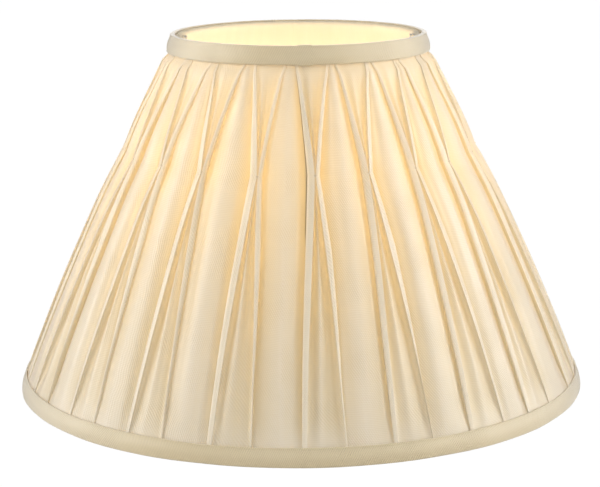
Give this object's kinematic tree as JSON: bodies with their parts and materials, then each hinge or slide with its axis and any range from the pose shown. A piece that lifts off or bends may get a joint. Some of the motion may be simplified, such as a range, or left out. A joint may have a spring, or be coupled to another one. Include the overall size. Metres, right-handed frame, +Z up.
{
  "type": "lamp shade",
  "caption": "Cone-shaped lamp shade of pinch-pleated cream silk over a wire frame, lined, with self-fabric bands and a swinging gimbal fitter.",
  "frame": {"origin": "centre of the bottom edge, on the plane the shade stands on", "axes": "+Z up along the shade's axis, +X to the right and -Y towards the viewer; the gimbal pivots lie along X"},
  "size_m": [0.4059, 0.406, 0.254],
  "materials": {
    "frame_wire": "white epoxy-coated steel wire",
    "gimbal_steel": "bright zinc-plated steel",
    "cotton_tape": "wound cotton tape",
    "lining_fabric": "smooth cream lining fabric, stretched",
    "pleated_silk": "cream ribbed silk, soft sheen, translucent",
    "thread": "sewing thread",
    "trim_fabric": "cream ribbed silk cut on the bias, folded double",
    "reducer_plastic": "moulded white plastic"
  },
  "bodies": {
    "shade": {"top_ring": "frame_wire", "bottom_ring": "frame_wire", "strut_1": "frame_wire", "strut_2": "frame_wire", "strut_3": "frame_wire", "strut_4": "frame_wire", "strut_5": "frame_wire", "strut_6": "frame_wire", "left_hanger": "gimbal_steel", "right_hanger": "gimbal_steel", "top_ring_tape": "cotton_tape", "bottom_ring_tape": "cotton_tape", "lining": "lining_fabric", "left_neatener": "lining_fabric", "right_neatener": "lining_fabric", "pleated_cover": "pleated_silk", "pinch_stitches": "thread", "top_trim": "trim_fabric", "bottom_trim": "trim_fabric"},
    "gimbal": {"left_arm": "gimbal_steel", "right_arm": "gimbal_steel", "fitter_ring": "gimbal_steel"},
    "reducer": {"reducer_ring": "reducer_plastic"}
  },
  "joints": [
    {"name": "gimbal_tilt", "type": "hinge", "parent": "shade", "child": "gimbal", "pos_m": [0, 0, 0.23745], "axis": [1, 0, 0], "continuous": true},
    {"name": "reducer_lift", "type": "slide", "parent": "gimbal", "child": "reducer", "axis": [0, 0, 1], "range_m": [0, 0.03]}
  ]
}
